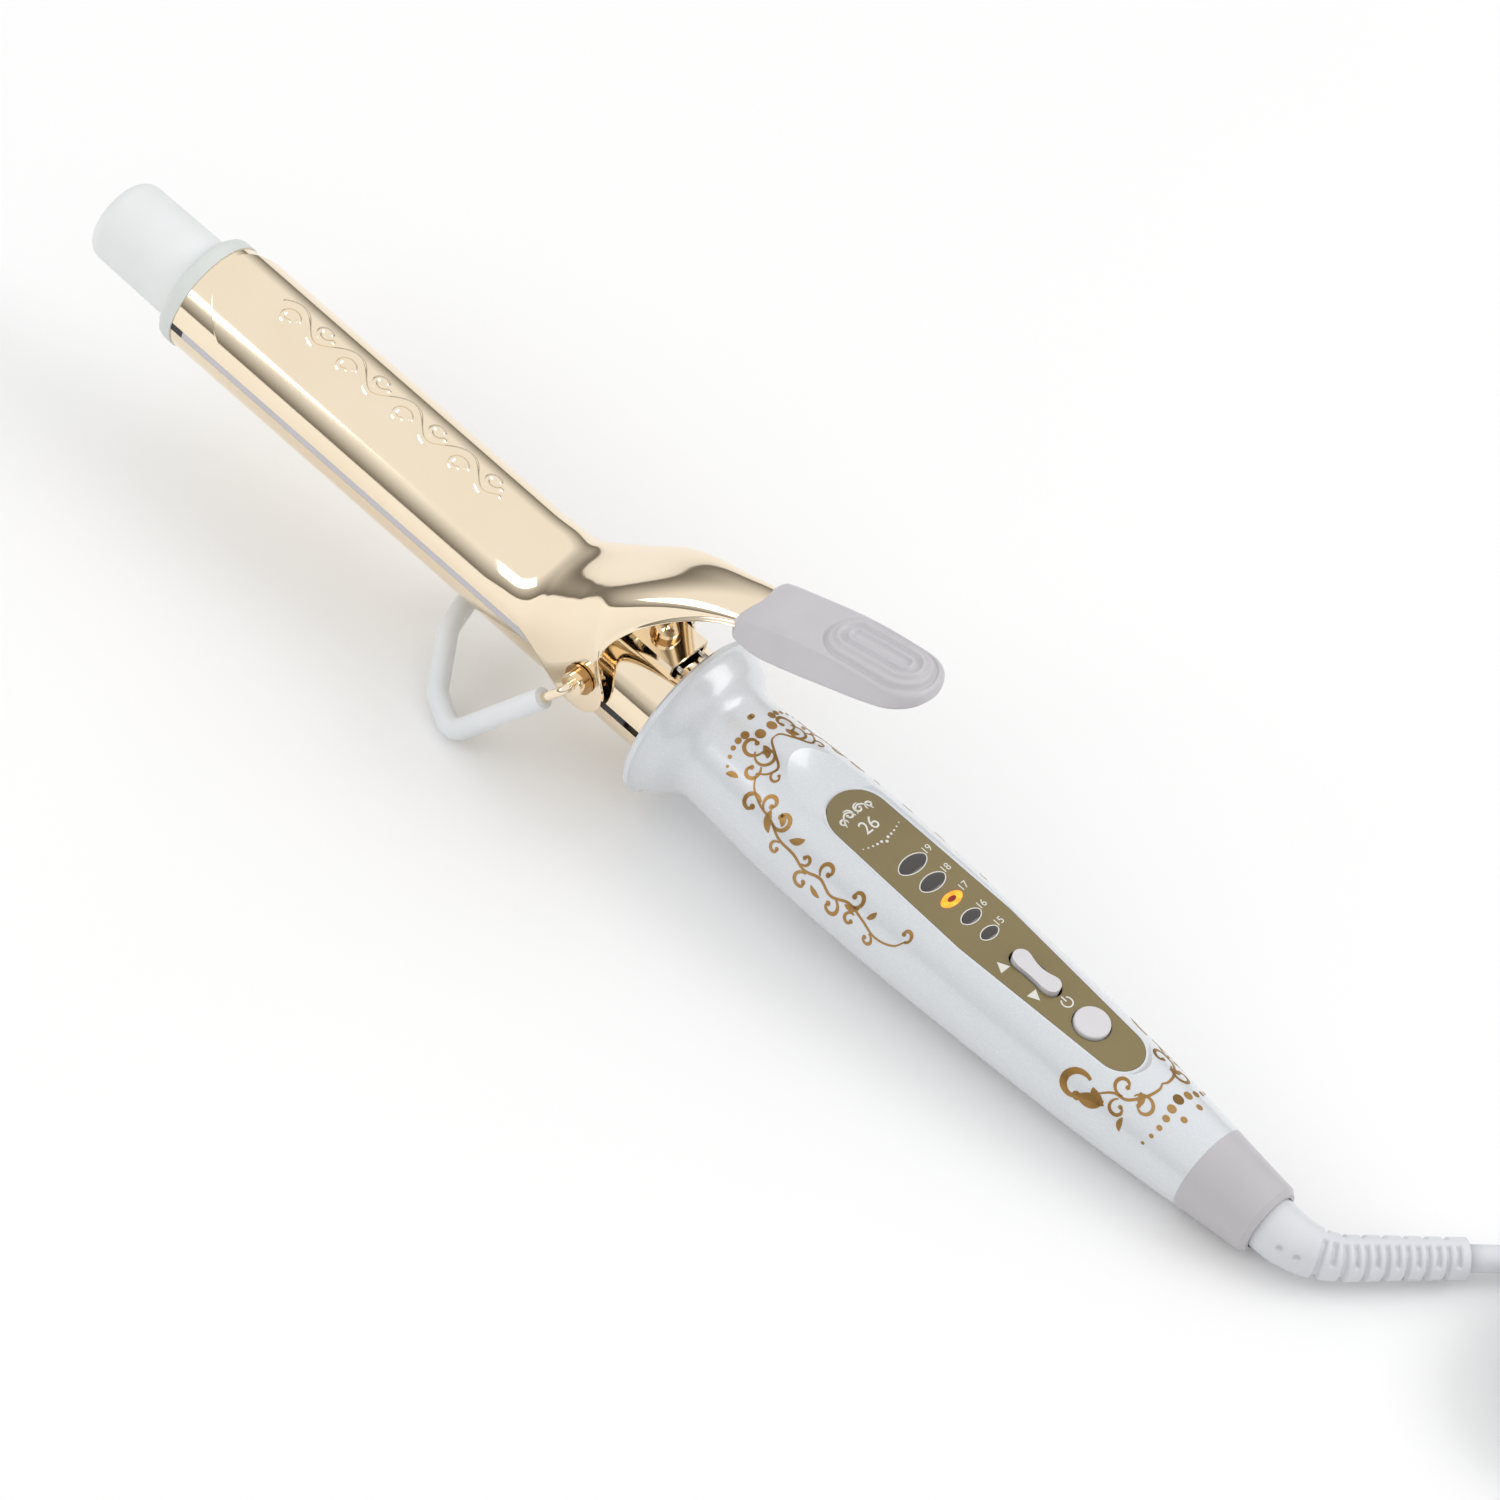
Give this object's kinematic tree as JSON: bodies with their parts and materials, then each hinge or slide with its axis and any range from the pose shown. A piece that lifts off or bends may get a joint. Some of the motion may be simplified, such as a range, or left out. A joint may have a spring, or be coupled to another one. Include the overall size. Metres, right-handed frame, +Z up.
{
  "type": "curling iron",
  "caption": "Slim spring-clamp curling iron with a plated barrel, thumb lever, folding wire stand, tapered handle with control panel, swivel strain relief and mains cord.",
  "frame": {"origin": "bottom centre of the iron's own box, without the cord, on the surface where its stand feet and handle tail rest", "axes": "+X along the iron from the cool tip to the cord, +Z up, with the clamp and the panel on top; the barrel axis is tipped 4.93 degrees, tip up"},
  "size_m": [0.5365, 0.0828, 0.0801],
  "materials": {
    "gold_plate": "champagne gold mirror plating",
    "brown_gold": "darker bronze-gold washer",
    "lilac_plastic": "satin lilac-grey",
    "black_resin": "matt black heat resin",
    "ceramic": "sintered ceramic",
    "tinned_metal": "tinned sheet",
    "amber_film": "amber polyimide film",
    "wire_jacket": "silicone wire jacket",
    "tip_resin": "fine matt white-grey",
    "collar_resin": "fine matt light grey",
    "steel": "bright steel",
    "white_silicone": "soft white silicone",
    "pearl_white": "pearl white lacquer with fine sparkle",
    "olive_panel": "glossy translucent olive gold",
    "dark_window": "smoked lens",
    "led_body": "amber LED",
    "button_resin": "satin light grey",
    "board": "green solder mask",
    "rating_film": "silver film, no text",
    "cord_jacket": "satin white-grey vinyl"
  },
  "bodies": {
    "handle": {"barrel_upper_shell": "gold_plate", "barrel_lower_shell": "gold_plate", "side_seal_strips": "lilac_plastic", "slot_end_spacers": "black_resin", "ptc_heater": "ceramic", "heater_electrodes": "tinned_metal", "insulation_film": "amber_film", "thermistor": "ceramic", "thermal_fuse": "tinned_metal", "lead_wires": "wire_jacket", "cool_tip": "tip_resin", "tip_collar": "collar_resin", "tip_screw": "steel", "barrel_mount_bush": "black_resin", "pivot_bushes": "steel", "pivot_screws": "gold_plate", "pivot_washers": "brown_gold", "spring_bracket": "gold_plate", "bracket_screw": "gold_plate", "bracket_washer": "brown_gold", "clamp_spring": "steel", "handle_upper_shell": "pearl_white", "handle_lower_shell": "pearl_white", "display_panel": "olive_panel", "indicator_windows": "dark_window", "indicator_leds": "led_body", "circuit_board": "board", "tact_switches": "black_resin", "board_components": "black_resin", "handle_screws": "steel", "rating_plate": "rating_film", "mains_leads": "wire_jacket", "tail_cap": "lilac_plastic", "swivel_contacts": "steel", "cord_run": "cord_jacket", "cord_tail": "cord_jacket", "cord_hank": "cord_jacket", "hank_tie": "wire_jacket", "plug_body": "cord_jacket", "plug_blades": "steel"},
    "clamp": {"clamp_plate": "gold_plate", "thumb_rest": "lilac_plastic"},
    "stand": {"stand_wire": "gold_plate", "stand_sleeve": "white_silicone"},
    "power_key": {"power_button": "button_resin"},
    "rocker_key": {"rocker_button": "button_resin"},
    "cord_swivel": {"swivel_hub": "black_resin", "strain_relief": "cord_jacket"}
  },
  "joints": [
    {"name": "clamp_hinge", "type": "hinge", "parent": "handle", "child": "clamp", "pos_m": [-0.0161, 0, 0.02883], "axis": [0, 1, 0], "range_deg": [0, 24], "stiffness_Nm_per_rad": 0.6, "springref_deg": -28.65},
    {"name": "stand_hinge", "type": "hinge", "parent": "handle", "child": "stand", "pos_m": [-0.0161, 0, 0.02883], "axis": [0, -1, 0], "range_deg": [0, 70]},
    {"name": "power_press", "type": "slide", "parent": "handle", "child": "power_key", "axis": [-0.1022, 0, -0.9948], "range_m": [0, 0.0005], "stiffness_N_per_m": 400},
    {"name": "rocker_tilt", "type": "hinge", "parent": "handle", "child": "rocker_key", "pos_m": [0.09783, 0, 0.02349], "axis": [0, 1, 0], "range_deg": [-4, 4], "stiffness_Nm_per_rad": 0.05},
    {"name": "cord_turn", "type": "hinge", "parent": "handle", "child": "cord_swivel", "pos_m": [0.16584, 0, 0.00862], "axis": [0.9963, 0, -0.0859], "continuous": true}
  ]
}
